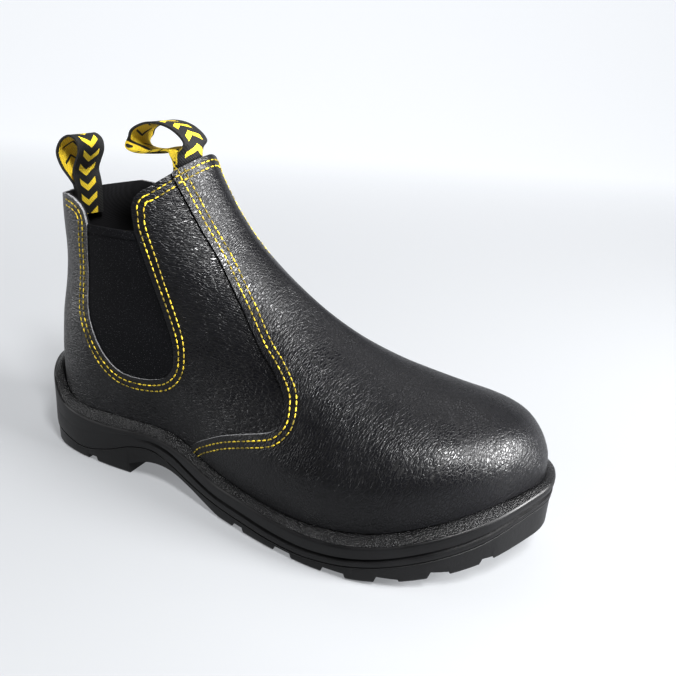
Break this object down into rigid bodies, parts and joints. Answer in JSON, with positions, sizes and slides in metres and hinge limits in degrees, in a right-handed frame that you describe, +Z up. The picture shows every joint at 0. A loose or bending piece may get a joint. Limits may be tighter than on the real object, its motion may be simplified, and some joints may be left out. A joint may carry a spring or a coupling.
{
  "type": "side gore work boot",
  "caption": "Right-foot ankle work boot with elastic side panels, webbing pull loops, a rounded toe and a deep lugged sole.",
  "frame": {"origin": "on the floor, in the middle of the heel's tread", "axes": "+X from heel to toe, +Y to the inner side of the foot, +Z up"},
  "size_m": [0.2996, 0.1155, 0.1905],
  "materials": {
    "tread": "dense black polyurethane, matt",
    "midsole": "foamed black polyurethane with a fine moulded grain",
    "footbed": "black textile over foam",
    "leather": "black pebbled leather, semi-gloss",
    "elastic": "fine woven black elastic",
    "webbing": "woven webbing, black outside and yellow inside"
  },
  "bodies": {
    "root": {"outsole": "tread", "midsole": "midsole", "insole": "footbed", "upper": "leather", "vamp": "leather", "heel_strip": "leather", "gore_lateral": "elastic", "gore_medial": "elastic", "pull_loop_back": "webbing", "pull_loop_front": "webbing"}
  },
  "joints": []
}
